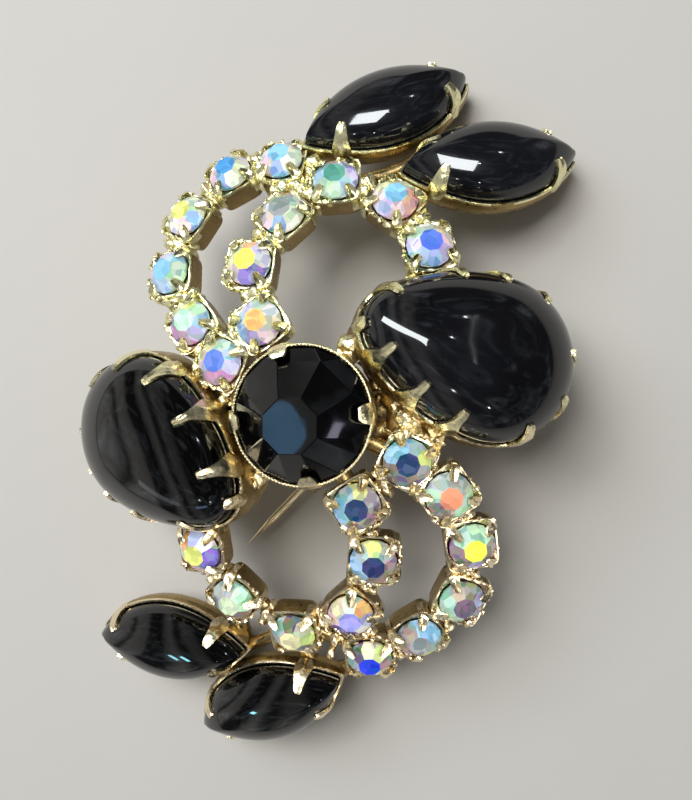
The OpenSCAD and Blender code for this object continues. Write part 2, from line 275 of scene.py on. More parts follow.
def place_at(x, y, z, turn, lean):
    """Matrix of a seat that leans away from the middle of the brooch; angles in degrees."""
    away = math.atan2(y, x)
    return (
        Matrix.Translation(Vector((x, y, z)) + CENTRING)
        @ Matrix.Rotation(away, 4, "Z")
        @ turned(lean, "Y")
        @ Matrix.Rotation(math.radians(turn) - away, 4, "Z")
    )


def dome_z(x, y):
    """Height of the seats' dome."""
    return CROWN_Z - FALL * (x * x + y * y)


def chaton_turn(k):
    """Turn of a clear stone, with a side of its cup towards its row's middle, in degrees."""
    x, y = ROWS[k // ROW_N][k % ROW_N]
    mx, my = MIDDLES[k // ROW_N]
    return math.degrees(math.atan2(y - my, x - mx))


def chaton_place(k):
    """Seat of a clear stone."""
    x, y = ROWS[k // ROW_N][k % ROW_N]
    lean = math.degrees(math.atan(2 * FALL * math.hypot(x, y)))
    return place_at(x, y, dome_z(x, y), chaton_turn(k), lean)


def pear_place(side):
    """Seat of a pear stone."""
    x, y, turn, lean = PEAR_SEATS[side]
    return place_at(x, y, dome_z(x, y), turn, lean)


def pointed_place(i):
    """Seat of a pointed stone, with the lowest edge of its setting on the surface."""
    x, y, turn, lean = POINTED_SEATS[i]
    low = place_at(x, y, 0, turn, lean)
    rim = pointed_outline(WALL_OUT, 16)
    foot = min((low @ Vector((px, py, -POINTED_DEPTH))).z for px, py, _ in rim)
    return moved(0, 0, -foot) @ low


def centre_place():
    """Seat of the centre stone."""
    return Matrix.Translation(Vector(CENTRE_SEAT) + CENTRING)


# Outlines: x, y and the direction that the outline faces


def arc(cx, cy, r, start, end, n):
    """n points along an arc, without its last one."""
    turns = [start + (end - start) * i / n for i in range(n)]
    return [(cx + r * math.cos(t), cy + r * math.sin(t), t) for t in turns]


def pear_arcs():
    """Middle of the long sides' arcs and the directions where the arcs meet."""
    far = PEAR_SIDE_R - PEAR_NARROW_R
    near = PEAR_SIDE_R - PEAR_WIDE_R
    x = (far**2 - near**2 + PEAR_WIDE_X**2 - PEAR_NARROW_X**2) / (2 * (PEAR_WIDE_X - PEAR_NARROW_X))
    y = math.sqrt(near**2 - (x - PEAR_WIDE_X) ** 2)
    return x, y, math.atan2(y, PEAR_WIDE_X - x), math.atan2(y, PEAR_NARROW_X - x)


def pear_outline(g, fine=1):
    """The pear's outline, moved out by g; it has 48 points for each step of fine."""
    x, y, wide, narrow = pear_arcs()
    full = 2 * math.pi
    middles = ((PEAR_WIDE_X, 0), (x, -y), (PEAR_NARROW_X, 0), (x, y))
    turns = (-wide, wide, narrow, full - narrow, full - wide)
    out = []
    for i, (r, n) in enumerate(PEAR_ARCS):
        out += arc(*middles[i], r + g, turns[i], turns[i + 1], n * fine)
    return out


POINTED_R = (POINTED_L**2 + POINTED_W**2) / (4 * POINTED_W)
POINTED_Y = POINTED_R - POINTED_W / 2


def pointed_outline(g, n=32):
    """The pointed stone's outline, moved out by g: two arcs of n points."""
    half = math.acos(POINTED_Y / (POINTED_R + g))
    quarter = math.pi / 2
    return arc(0, -POINTED_Y, POINTED_R + g, quarter - half, quarter + half, n) + arc(
        0, POINTED_Y, POINTED_R + g, 3 * quarter - half, 3 * quarter + half, n
    )


def round_outline(r, n):
    """A circle's outline."""
    return arc(0, 0, r, 0, 2 * math.pi, n)


def square_outline(side, n):
    """A square outline with round corners; a corner is halfway between two sides."""
    power = 7
    out = []
    for _, _, t in arc(0, 0, 1, 0, 2 * math.pi, n):
        r = side / 2 / (abs(math.cos(t)) ** power + abs(math.sin(t)) ** power) ** (1 / power)
        out.append((r * math.cos(t), r * math.sin(t), t))
    return out


# Shapes


def sheet(bm, columns, rows, place):
    """A grid of faces whose point i, j goes to place(i, j); edges that meet are joined."""
    made = bmesh.ops.create_grid(bm, x_segments=columns, y_segments=rows, size=1)["verts"]
    for v in made:
        i = round((v.co.x + 1) / 2 * columns)
        j = round((v.co.y + 1) / 2 * rows)
        v.co = place(i, j)
    faces = list(dict.fromkeys(f for v in made for f in v.link_faces))
    bmesh.ops.remove_doubles(bm, verts=made, dist=1e-4)
    return [f for f in faces if f.is_valid]


def wall(bm, seat, rings):
    """A closed wall through rings of points, each ring with as many points."""
    n = len(rings[0])
    faces = sheet(bm, n, len(rings) - 1, lambda i, j: seat @ Vector(rings[j][i % n][:3]))
    bmesh.ops.recalc_face_normals(bm, faces=faces)
    return faces


def ring_at(outline, z):
    """An outline's points at a height, or at a height for each point."""
    return [(p[0], p[1], z(p) if callable(z) else z) for p in outline]


def point_ring(n, x, y, z):
    """A ring drawn in to one point, which closes a wall."""
    return [(x, y, z)] * n


def wander(p):
    """A direction that strays smoothly from place to place, the same at each run."""
    return Vector([noise.noise(p + Vector((0, 0, shift))) for shift in (0.4, 31.7, 67.3)])


def strip(bm, seat, path, halves, ridge, bow, thick):
    """A bent strip of sheet metal along x, z points; halves is its half widths, ridge lifts its
    middle line and bow is the radius of the wall that it grows from."""
    columns = 6
    rows = len(path) - 1
    points = [Vector(p) for p in path]
    lifts = []
    for j in range(rows + 1):
        run = points[min(j + 1, rows)] - points[max(j - 1, 0)]
        lifts.append(Vector((run.y, -run.x)).normalized())
    drift = seat.translation * 3

    def place(i, j):
        across = 2 * i / columns - 1
        y = halves[j] * across
        lift = ridge[j] * (1 - abs(across))
        x = points[j].x + lifts[j].x * lift - y * y / (2 * bow)
        p = Vector((x, y, points[j].y + lifts[j].y * lift))
        return seat @ (p + DENTS * wander(p * 0.9 + drift))

    faces = sheet(bm, columns, rows, place)
    bmesh.ops.recalc_face_normals(bm, faces=faces)
    middle = seat @ Vector((points[0].x - 50, 0, points[0].y))
    if faces[0].normal.dot(faces[0].calc_center_median() - middle) < 0:
        bmesh.ops.reverse_faces(bm, faces=faces)
    bmesh.ops.solidify(bm, geom=faces, thickness=thick)


def big_claw(bm, seat, r, dome, power, reach, bow, finger, foot):
    """A claw whose foot is spread along the rim; it narrows over the stone's edge to a hollowed
    finger that lies on a dome of radius r."""
    start = 0.25
    clear = GAP + 0.24
    path = [(clear, z) for z in (-1.1, -0.6, -0.15)]
    shares = [1, 1, 1]
    low = math.asin(start / dome)
    high = math.asin(math.sqrt(1 - (1 - reach / r) ** power))
    steps = 9
    spread = 2.3
    run = 0
    for j in range(steps + 1):
        a = low + (high - low) * j / steps
        x = clear - r * (1 - math.cos(a) ** (2 / power))
        z = dome * math.sin(a) + 0.1 * math.sin(a)
        run += math.dist((x, z), path[-1])
        path.append((x, z))
        shares.append(max(0, 1 - run / spread) ** 1.4)
    halves = [(finger + (foot - finger) * share) / 2 for share in shares]
    halves[-2] *= 0.9
    halves[-1] *= 0.55
    ridge = [0.22 * share - 0.12 * (1 - share) for share in shares]
    strip(bm, seat, path, halves, ridge, bow, 0.26)


def edges_of(verts):
    """The edges of some points, each once and in a steady order."""
    return list(dict.fromkeys(e for v in verts for e in v.link_edges))


def soften(bm, edges, width, segments):
    """Bevels edges."""
    bmesh.ops.bevel(
        bm, geom=edges, offset=width, segments=segments, profile=0.5, affect="EDGES", material=-1
    )


def smooth_faces(bm, angle):
    """Smooth shading with sharp edges where two faces turn by more than an angle in degrees."""
    crease = bm.edges.layers.float.new("crease_edge")
    for f in bm.faces:
        f.smooth = True
    for e in bm.edges:
        e.smooth = len(e.link_faces) != 2 or e.calc_face_angle(0) < math.radians(angle)
        e[crease] = 0 if e.smooth else 0.7


def finish_piece(name, bm, materials, nodes, sharp=40, levels=0, body=BODY):
    """The bmesh as a piece in metres that rides on a body and stands for CAD nodes."""
    smooth_faces(bm, sharp)
    bm.transform(Matrix.Scale(MM, 4))
    mesh = bpy.data.meshes.new(name)
    bm.to_mesh(mesh)
    bm.free()
    piece = bpy.data.objects.new(name, mesh)
    bpy.context.scene.collection.objects.link(piece)
    for material in materials:
        mesh.materials.append(material)
    if levels:
        rounding = piece.modifiers.new("Rounding", "SUBSURF")
        rounding.levels = levels
        rounding.render_levels = levels
    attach(piece, body)
    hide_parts(*nodes)


def finish_metal(name, bm, plates=None, sharp=40, levels=0):
    """A piece of the frame, bright with walls in painted shade unless it is given other plates."""
    finish_piece(name, bm, plates or [gold(), painted_shade_gold()], ["frame"], sharp, levels)


def finish_stone(node, bm, glass, sharp, levels=0):
    """A stone in place of its CAD node."""
    finish_piece(f"{node}_glass", bm, [glass], [node], sharp, levels)


# Materials


class NodeTree:
    """The nodes of a material or a world, with the steps that they share."""

    def __init__(self, owner, coords="Object"):
        owner.use_nodes = True
        self.nodes = owner.node_tree.nodes
        self.links = owner.node_tree.links
        self.coords = self.add("TexCoord").outputs[coords]

    def dial(self, node, values):
        """Sets a node's inputs, by name or place, to values or from other nodes."""
        for key, value in values.items():
            if isinstance(value, bpy.types.NodeSocket):
                self.links.new(value, node.inputs[key])
            else:
                node.inputs[key].default_value = value
        return node

    def add(self, kind, values=None):
        """A node of a kind, with its inputs set."""
        return self.dial(self.nodes.new(f"ShaderNode{kind}"), values or {})

    def noise(self, scale, detail, roughness=0.5, distortion=0):
        """Noise at a scale in features per metre."""
        values = {"Vector": self.coords, "Scale": scale, "Detail": detail}
        values |= {"Roughness": roughness, "Distortion": distortion}
        return self.add("TexNoise", values).outputs["Fac"]

    def ramp(self, source, *stops):
        """A ramp over a value, from stops of a position and a colour or a grey."""
        node = self.add("ValToRGB", {"Fac": source})
        ramp = node.color_ramp
        while len(ramp.elements) < len(stops):
            ramp.elements.new(0.5)
        for element, (position, colour) in zip(ramp.elements, stops):
            element.position = position
            element.color = (*(colour if isinstance(colour, tuple) else (colour,) * 3), 1)
        return node.outputs["Color"]

    def mix(self, blend, share, first, second):
        """A mix of two colours."""
        node = self.nodes.new("ShaderNodeMix")
        node.data_type = "RGBA"
        node.blend_type = blend
        return self.dial(node, {0: share, 6: first, 7: second}).outputs[2]

    def bump(self, height, strength, distance, before=None):
        """A bump whose distance is in millimetres, on top of another one."""
        values = {"Height": height, "Strength": strength, "Distance": distance * MM}
        if before:
            values["Normal"] = before
        return self.add("Bump", values).outputs["Normal"]


def new_material(name):
    """A material with its node tree and its shader."""
    material = bpy.data.materials.new(name)
    tree = NodeTree(material)
    return material, tree, tree.nodes["Principled BSDF"]


def gold_material(name, light, warm, deep, rough, lumpy):
    """Cast and plated metal: paler at the top of the brooch and warmer at its foot, a painted light,
    with an uneven tone, small lumps and a sandy grain."""
    material, tree, shader = new_material(name)
    # Painted light: the tone goes from warm at the foot to paler at the top of the brooch
    place = tree.add("SeparateXYZ", {"Vector": tree.coords})
    ends = {"From Min": -PAINTED_LIGHT_Y * MM, "From Max": PAINTED_LIGHT_Y * MM}
    span = tree.add("MapRange", {"Value": place.outputs["Y"], **ends})
    painted_light_tone = tree.ramp(span.outputs["Result"], (0, warm), (1, light))
    patches = tree.ramp(tree.noise(1100, 5, 0.7), (0.26, 0), (0.42, 1))
    lumps = tree.bump(tree.noise(1000, 2), lumpy, 0.18)
    tree.dial(shader, {
        "Base Color": tree.mix("MIX", patches, (*deep, 1), painted_light_tone),
        "Metallic": 1,
        "Roughness": tree.ramp(tree.noise(1300, 4), (0.3, rough * 0.6), (0.7, rough * 1.5)),
        "Normal": tree.bump(tree.noise(3400, 2, 0.6), lumpy, 0.1, lumps),
    })
    return material


def black_glass_material(colour):
    """Polished black glass with a faint haze of handling."""
    material, tree, shader = new_material("black_stone")
    lighter = tuple(2 * c for c in colour)
    tree.dial(shader, {
        "Base Color": tree.ramp(tree.noise(160, 2), (0.3, colour), (0.75, lighter)),
        "Roughness": tree.ramp(tree.noise(260, 5, 0.6), (0.45, 0.03), (0.8, 0.16)),
        "IOR": 1.52,
        "Coat Weight": 0.12,
        "Coat Roughness": 0.25,
        "Coat IOR": 1.4,
        "Normal": tree.bump(tree.noise(190, 1), 0.12, 0.25),
    })
    return material


def coated_glass_material():
    """Coated and foiled glass: each facet shows one tint of the coating, under cells of painted reflection
    from the pavilion facets.
    """
    material, tree, shader = new_material("coated_stone")
    tint = tree.add("Attribute")
    tint.attribute_name = "facet"
    # Painted reflections of the pavilion facets: cells that lighten and darken the tint and add a share of
    # stray colour
    painted_reflections = tree.add("TexVoronoi", {"Vector": tree.coords, "Scale": 1500}).outputs["Color"]
    split = tree.add("SeparateColor", {"Color": painted_reflections})
    lightness = tree.ramp(split.outputs["Red"], (0.1, 0.62), (0.35, 0.95), (0.85, 1.5))
    shade = tree.mix("MULTIPLY", 0.6, tint.outputs["Color"], lightness)
    tree.dial(shader, {
        "Base Color": tree.mix("MIX", tint.outputs["Alpha"], shade, painted_reflections),
        "Roughness": tree.ramp(tree.noise(1700, 3, 0.7), (0.3, 0.1), (0.7, 0.3)),
        "Specular IOR Level": 0.8,
        "Specular Tint": tint.outputs["Color"],
        "Coat Weight": 0.25,
        "Coat Roughness": 0.02,
        "Coat IOR": 1.6,
    })
    return material


def floor_material(colour):
    """A plain pale floor with a very faint mottle."""
    material, tree, shader = new_material("floor")
    darker = tuple(0.97 * c for c in colour)
    tree.dial(shader, {
        "Base Color": tree.ramp(tree.noise(30, 3), (0.3, darker), (0.7, colour)),
        "Roughness": 0.9,
        "Specular IOR Level": 0.15,
    })
    return material


def plate(name, rough, lumpy):
    """A plate by its name, made when it is first asked for."""
    colours = bpy.context.scene.brooch_colours
    tones = (tuple(colours.gold), tuple(colours.gold_warm), tuple(colours.gold_deep))
    return bpy.data.materials.get(name) or gold_material(name, *tones, rough, lumpy)


def gold():
    """The bright plate."""
    return plate("bright_plate", 0.24, 0.3)


def lumpy_gold():
    """The plate on solder."""
    return plate("lumpy_plate", 0.3, 0.8)


def painted_shade_gold():
    """The darker plate on walls and in hollows: painted shade with a painted brown reflection."""
    name = "wall_plate"
    tone = tuple(bpy.context.scene.brooch_colours.wall)
    deep = tuple(0.74 * c for c in tone)
    return bpy.data.materials.get(name) or gold_material(name, tone, tone, deep, 0.3, 0.25)


def black_glass():
    """The black glass."""
    black = tuple(bpy.context.scene.brooch_colours.black)
    return bpy.data.materials.get("black_stone") or black_glass_material(black)


def coated_glass():
    """The coated glass."""
    return bpy.data.materials.get("coated_stone") or coated_glass_material()


def paint_shade(faces):
    """Gives faces the second of a piece's two plates, the darker one of painted shade."""
    for f in faces:
        f.material_index = 1


def paint_shade_below(z, seat, faces):
    """Gives the second plate, the darker one of painted shade, to the faces below a height over the seat.
    """
    back = seat.inverted()
    paint_shade([f for f in faces if (back @ f.calc_center_median()).z < z])


# Stones


def linear(colour):
    """A screen colour as light."""
    return tuple(c / 12.92 if c < 0.04045 else ((c + 0.055) / 1.055) ** 2.4 for c in colour)


def cut_stone(bm, seat, d, table, crown, pavilion, stray=(0, 0)):
    """A round cut stone: a table, eight main facets, sixteen small ones, a girdle and a pavilion;
    stray is how far the table is off the middle."""
    r = d / 2
    shoulder = 0.84
    shoulder_z = crown * (1 - shoulder) / (1 - table) * 1.1
    eighth = math.pi / 8
    rings = (
        (8, r * table, crown, eighth, stray),
        (8, r * shoulder, shoulder_z + 0.1, eighth, (0, 0)),
        (16, r, 0.1, eighth / 2, (0, 0)),
        (16, r, -0.1, eighth / 2, (0, 0)),
        (8, 0.15 * r, -pavilion, eighth, (0, 0)),
    )
    for n, ring_r, z, turn, middle in rings:
        spot = seat @ moved(*middle, z) @ Matrix.Rotation(turn, 4, "Z")
        bmesh.ops.create_circle(bm, segments=n, radius=ring_r, matrix=spot)
    hull = bmesh.ops.convex_hull(bm, input=bm.verts)
    inside = hull["geom_interior"] + hull["geom_unused"]
    spare = [g for g in inside if isinstance(g, bmesh.types.BMVert)]
    bmesh.ops.delete(bm, geom=spare, context="VERTS")
    bmesh.ops.dissolve_limit(bm, angle_limit=math.radians(1.5), verts=bm.verts, edges=bm.edges)
    bmesh.ops.recalc_face_normals(bm, faces=bm.faces)


def tint_facets(bm, seat, turn, tints, pale, rng):
    """Colours the facets: the table, then the sides by the direction that they face; pale is
    the share of white in the sides, a painted light. The alpha is the share of stray tints from the
    painted reflections of the pavilion facets."""
    table, run, start = tints
    sides = RUNS[run].split()
    layer = bm.loops.layers.float_color.new("facet")
    back = seat.inverted().to_3x3()
    for f in bm.faces:
        facing = back @ f.normal
        if facing.z > 0.99:
            tint, white, stray = table, 0, 0.05
        else:
            clock = (90 - math.degrees(math.atan2(facing.y, facing.x)) - turn) % 360
            tint, white, stray = sides[(round(clock / 45) - start) % len(sides)], pale, 0.18
        small = f.calc_area() < 0.35
        gain = rng.uniform(0.45, 0.95) if small else rng.uniform(0.78, 0.9)
        shown = [min(1, (c + (1 - c) * white) * gain) for c in linear(TINTS[tint])]
        for loop in f.loops:
            loop[layer] = (*shown, stray)


def cabochon(bm, seat, rows, focus, dome, power):
    """A domed stone on an outline; a power above 2 makes its top flatter."""
    n = len(rows)
    steps = 20

    def drawn(scale, z):
        return [(focus + (p[0] - focus) * scale, p[1] * scale, z) for p in rows]

    rings = [point_ring(n, focus, 0, -1), drawn(0.9, -1), drawn(0.975, -0.85), drawn(1, -0.6)]
    for i in range(steps):
        t = math.pi / 2 * i / steps
        rings.append(drawn(math.cos(t) ** (2 / power), dome * math.sin(t)))
    rings.append(point_ring(n, focus, 0, dome))
    wall(bm, seat, rings)


class BROOCH_OT_clear_stones(Operator):
    """Cut the coated clear stones"""

    bl_idname = "brooch.clear_stones"
    bl_label = "Clear Stones"

    def execute(self, context):
        sizes = context.scene.brooch_sizes
        rng = random.Random(7)
        for k, tints in enumerate(STONE_TINTS):
            bm = bmesh.new()
            seat = chaton_place(k)
            cut_stone(bm, seat, sizes.chaton_d, sizes.chaton_table, 0.95, 1.25)
            # The upper half's sides get more white, a painted light
            tint_facets(bm, seat, chaton_turn(k), tints, SIDES_PAINTED_LIGHT[k // HALF_N], rng)
            finish_stone(f"clear_stone_{k + 1}", bm, coated_glass(), 1)
        return {"FINISHED"}


class BROOCH_OT_centre_stone(Operator):
    """Cut the black centre stone"""

    bl_idname = "brooch.centre_stone"
    bl_label = "Centre Stone"

    def execute(self, context):
        bm = bmesh.new()
        cut_stone(bm, centre_place(), CENTRE_D, 0.42, 2.5, 3.4, (-0.3, -0.75))
        edges = [e for e in bm.edges if e.calc_face_angle(0) > math.radians(3)]
        soften(bm, edges, 0.04, 1)
        finish_stone("centre_stone", bm, black_glass(), 1)
        return {"FINISHED"}


class BROOCH_OT_cabochons(Operator):
    """Shape the black pears and pointed stones"""

    bl_idname = "brooch.cabochons"
    bl_label = "Cabochons"

    def execute(self, context):
        for side in PEAR_SEATS:
            bm = bmesh.new()
            cabochon(bm, pear_place(side), pear_outline(0, 2), PEAR_FOCUS, PEAR_DOME, PEAR_POWER)
            finish_stone(f"pear_stone_{side}", bm, black_glass(), 60, 1)
        for i in range(len(POINTED_SEATS)):
            bm = bmesh.new()
            rows = pointed_outline(0, POINTED_N)
            cabochon(bm, pointed_place(i), rows, 0, POINTED_DOME, POINTED_POWER)
            finish_stone(f"pointed_stone_{i + 1}", bm, black_glass(), 60, 1)
        return {"FINISHED"}


# Settings


def cup_claw(bm, seat, sizes, reach):
    """A folded corner of a cup, pressed down on the stone's crown, with a groove along it."""
    corner = sizes.cup_w * 0.64
    steps = (
        (0.16, -1.3), (0.12, -0.7), (0.12, -0.15), (0.26, 0.2), (0.5, 0.42), (0.8, 0.6), (1.0, 0.74),
        (reach, 0.86),
    )
    path = [(corner - inwards, z) for inwards, z in steps]
    halves = (0.5, 0.48, 0.46, 0.44, 0.38, 0.32, 0.26, 0.14)
    ridge = (0.24, 0.2, 0.1, -0.06, -0.2, -0.24, -0.2, -0.08)
    strip(bm, seat, path, halves, ridge, 50, 0.14)


def cup(bm, seat, sizes, rng):
    """A square cup of thin metal round the stone, with a claw at each corner."""
    n = 48
    seed = rng.random() * 50

    def rim(p):
        dent = noise.noise(Vector((p[0] * 1.4, p[1] * 1.4, seed)))
        return -0.16 + 0.1 * abs(math.sin(2 * p[2])) ** 3 + 0.12 * dent

    def dented(width):
        out = []
        for x, y, t in square_outline(width, n):
            push = 1 + 0.04 * abs(noise.noise(Vector((x * 1.4, y * 1.4, seed + 9))))
            out.append((x * push, y * push, t))
        return out

    side = sizes.cup_w
    bore = sizes.chaton_d / 2 + GAP
    foot = -sizes.cup_h
    walls = ((1.2, foot), (0.62, foot + 0.03), (0.5, foot + 0.2), (0.28, -1.5), (0.12, -0.8))
    bores = ((0.02, -0.26), (0.04, -0.4), (0, -0.9))
    rings = (
        point_ring(n, 0, 0, foot),
        *(ring_at(square_outline(side - less, n), z) for less, z in walls),
        ring_at(dented(side - 0.02), lambda p: rim(p) - 0.14),
        ring_at(dented(side - 0.06), rim),
        ring_at(dented(side - 0.32), rim),
        ring_at(dented(side - 0.38), lambda p: rim(p) - 0.1),
        *(ring_at(round_outline(bore - less, n), z) for less, z in bores),
        point_ring(n, 0, 0, -1.9),
    )
    # The cup below its rim takes the darker plate, painted shade
    paint_shade_below(-0.5, seat, wall(bm, seat, rings))
    for corner in (45, 135, 225, 315):
        turn = turned(corner + rng.uniform(-6, 6))
        cup_claw(bm, seat @ turn, sizes, rng.uniform(1.15, 1.4))


def grains(bm, seat, sizes, n, start, end, rng):
    """Grains of solder on a cup's rim, between two directions in degrees."""
    inward = seat.to_3x3().inverted()
    for _ in range(n):
        t = math.radians(rng.uniform(start, end))
        way = inward @ Vector((math.cos(t), math.sin(t), 0))
        reach = min(0.6, 0.5 / max(abs(way.x), abs(way.y))) * sizes.cup_w
        spot = seat @ moved(way.x * reach, way.y * reach, rng.uniform(-0.5, 0))
        r = rng.uniform(0.14, 0.3)
        made = bmesh.ops.create_icosphere(bm, subdivisions=1, radius=1, matrix=spot)["verts"]
        heart = spot.translation
        for v in made:
            v.co = heart + (v.co - heart) * r * rng.uniform(0.75, 1.25)


class BROOCH_OT_cups(Operator):
    """Fold the cups of the clear stones"""

    bl_idname = "brooch.cups"
    bl_label = "Cups"

    def execute(self, context):
        sizes = context.scene.brooch_sizes
        rng = random.Random(3)
        for k in range(len(STONE_TINTS)):
            bm = bmesh.new()
            cup(bm, chaton_place(k), sizes, rng)
            grains(bm, chaton_place(k), sizes, *GRAINS[k // HALF_N], rng)
            finish_metal(f"cup_{k + 1}", bm, levels=1)
        return {"FINISHED"}


def walled_setting(bm, seat, outline, depth, dips):
    """A stamped wall round an outline, with a thin lip; dips is how far it falls at each point."""
    n = len(outline(0))
    focus = (sum(p[0] for p in outline(0)) / n, 0)
    lip = [-0.3 - dip for dip in dips]

    def ring(g, z):
        return [(p[0], p[1], z[i] if isinstance(z, list) else z) for i, p in enumerate(outline(g))]

    rings = (
        point_ring(n, *focus, -depth),
        ring(-1.4, -depth),
        ring(WALL_OUT - 0.45, -depth + 0.02),
        ring(WALL_OUT - 0.32, -depth + 0.22),
        ring(WALL_OUT - 0.2, -depth + 0.9),
        ring(WALL_OUT - 0.08, -1.2),
        ring(WALL_OUT - 0.12, [z - 0.14 for z in lip]),
        ring(WALL_OUT - 0.2, lip),
        ring(GAP + 0.04, lip),
        ring(GAP, [z - 0.08 for z in lip]),
        ring(GAP, -1.25),
        point_ring(n, *focus, -1.3),
    )
    # The wall below the lip takes the darker plate, painted shade
    paint_shade_below(-0.62, seat, wall(bm, seat, rings))


def dips_between(n, claws, depth):
    """A rim's dips: none at a claw, and depth halfway between two claws."""
    out = []
    for i in range(n):
        nearest = min(min((i - c) % n, (c - i) % n) for c in claws)
        out.append(depth * min(1, nearest / (n / len(claws) / 2)) ** 0.7)
    return out


class BROOCH_OT_pear_settings(Operator):
    """Stamp the settings of the pears"""

    bl_idname = "brooch.pear_settings"
    bl_label = "Pear Settings"

    def execute(self, context):
        sizes = context.scene.brooch_sizes
        bows = [r for r, n in PEAR_ARCS for _ in range(n)]
        fine = 3
        for side, claws in PEAR_CLAWS.items():
            bm = bmesh.new()
            seat = pear_place(side)
            rim = pear_outline(0)
            dips = dips_between(len(bows) * fine, [fine * c for c in claws], 0.3)
            walled_setting(bm, seat, lambda g: pear_outline(g, fine), PEAR_DEPTH, dips)
            for k in claws:
                x, y, facing = rim[k]
                r = (x - PEAR_FOCUS) * math.cos(facing) + y * math.sin(facing)
                spot = seat @ moved(x, y, 0) @ Matrix.Rotation(facing, 4, "Z")
                reach, foot = (NOSE_REACH, NOSE_FOOT) if k == NOSE_CLAW else (PEAR_REACH, sizes.foot_w)
                big_claw(bm, spot, r, PEAR_DOME, PEAR_POWER, reach, bows[k], sizes.finger_w, foot)
            finish_metal(f"pear_setting_{side}", bm, levels=1)
        return {"FINISHED"}


class BROOCH_OT_pointed_settings(Operator):
    """Stamp the settings of the pointed stones"""

    bl_idname = "brooch.pointed_settings"
    bl_label = "Pointed Settings"

    def execute(self, context):
        n = POINTED_N
        half = math.degrees(math.acos(POINTED_Y / POINTED_R))
        claw_t = 32
        off = n * claw_t / half / 2
        claws = [n / 2 + start + side * off for start in (0, n) for side in (-1, 1)]
        for i in range(len(POINTED_SEATS)):
            bm = bmesh.new()
            seat = pointed_place(i)
            dips = dips_between(2 * n, claws, 0.25)
            walled_setting(bm, seat, lambda g: pointed_outline(g, n), POINTED_DEPTH, dips)
            for side in (90, 270):
                for t in (-claw_t, claw_t):
                    focus = moved(0, -POINTED_Y * math.sin(math.radians(side)), 0)
                    spot = seat @ focus @ turned(side + t) @ moved(POINTED_R, 0, 0)
                    r = POINTED_R - POINTED_Y * math.cos(math.radians(t))
                    big_claw(bm, spot, r, POINTED_DOME, POINTED_POWER, 1.05, POINTED_R, 0.75, 1.7)
            finish_metal(f"pointed_setting_{i + 1}", bm, levels=1)
        return {"FINISHED"}


class BROOCH_OT_centre_setting(Operator):
    """Turn the centre cup with its beaded rim and four tabs"""

    bl_idname = "brooch.centre_setting"
    bl_label = "Centre Setting"

    def execute(self, context):
        sizes = context.scene.brooch_sizes
        seat = centre_place()
        r = CENTRE_D / 2 + GAP
        bm = bmesh.new()
        n = 96
        profile = (
            (0.01, -CENTRE_DEPTH),
            (r - 0.5, -CENTRE_DEPTH),
            (r - 0.1, -CENTRE_DEPTH + 0.1),
            (r + 0.06, -CENTRE_DEPTH + 0.5),
            (r + 0.16, -2.4),
            (r + 0.24, -0.5),
            (r + 0.24, -0.1),
            (r + 0.2, 0.02),
            (r + 0.05, 0.02),
            (r, -0.1),
            (r, -0.9),
        )
        rings = [ring_at(round_outline(ring_r, n), z) for ring_r, z in profile]
        # The cup below its rim takes the darker plate, painted shade
        paint_shade_below(-0.4, seat, wall(bm, seat, rings))
        path = (
            (0.42, -1.2), (0.46, -0.2), (0.44, 0.4), (0.3, 0.85), (0, 1.2), (-0.35, 1.45), (-0.65, 1.55),
        )
        halves = (0.95, 0.95, 0.9, 0.85, 0.78, 0.68, 0.4)
        for degrees in CENTRE_TABS:
            tab = seat @ turned(degrees) @ moved(CENTRE_D / 2, 0, 0)
            strip(bm, tab, path, halves, (0.02,) * len(path), 6, 0.3)
        finish_metal("centre_setting", bm, levels=1)
        bm = bmesh.new()
        worn_t = math.radians(130)
        for b in range(sizes.bead_n):
            t = 2 * math.pi * b / sizes.bead_n
            wear = max(0, math.cos(t - worn_t))
            spot = seat @ Matrix.Rotation(t, 4, "Z") @ moved(r + 0.14, 0, 0.03)
            bmesh.ops.create_icosphere(bm, subdivisions=1, radius=0.15 - 0.05 * wear, matrix=spot)
        finish_metal("centre_rim_beads", bm, [gold()], 180)
        return {"FINISHED"}


# Solder joints: each half's cups that meet, and the settings that meet a cup
CUP_PAIRS = ((5, 6), (3, 11), (2, 11))
CENTRE_CUPS = (5, 6)
POINTED_JOINTS = (
    (0, (-5.4, -1.9), 2),
    (0, (-7, 0.6), 11),
    (1, (-7, -0.3), 1),
    (1, (-4.6, 2.4), 2),
    (2, (-5.4, -1.9), 14),
    (2, (-7, 0.6), 23),
    (3, (-7, -0.3), 13),
    (3, (-4.6, 2.4), 14),
)
PEAR_JOINTS = (
    ("right", (-5, 4.8), 0),
    ("right", (-3, -5.8), 18),
    ("left", (-5, 4.8), 12),
    ("left", (-3, -5.8), 6),
)

# Heaps of solder between the centre and the right pear: start, end and size
HEAPS = (
    ((6.1, 3.4, 9.6), (8.2, -0.6, 9.6), 1.0),
    ((8.2, 0.8, 9.7), (8.5, -2.1, 9.8), 1.0),
    ((9.5, 0.2, 9.8), (10.3, -2.2, 9.8), 0.85),
    ((5.7, 1.2, 9), (8, 0.2, 9), 0.75),
    ((5.6, -1.8, 9.2), (7.6, -1.6, 9.4), 0.75),
    ((4.6, 4.1, 8.8), (5.6, 1.6, 8.9), 0.7),
    ((5.1, 4.6, 9.9), (6.3, 2.9, 9.9), 0.6),
    ((6.7, 1.4, 9.3), (7.4, -1.6, 9.5), 0.95),
    ((7.8, -1.6, 9.8), (10.8, -2.7, 9.8), 0.8),
)

# How far the heaped solder is above its joint
RISE = Vector((0, 0, 0.7))


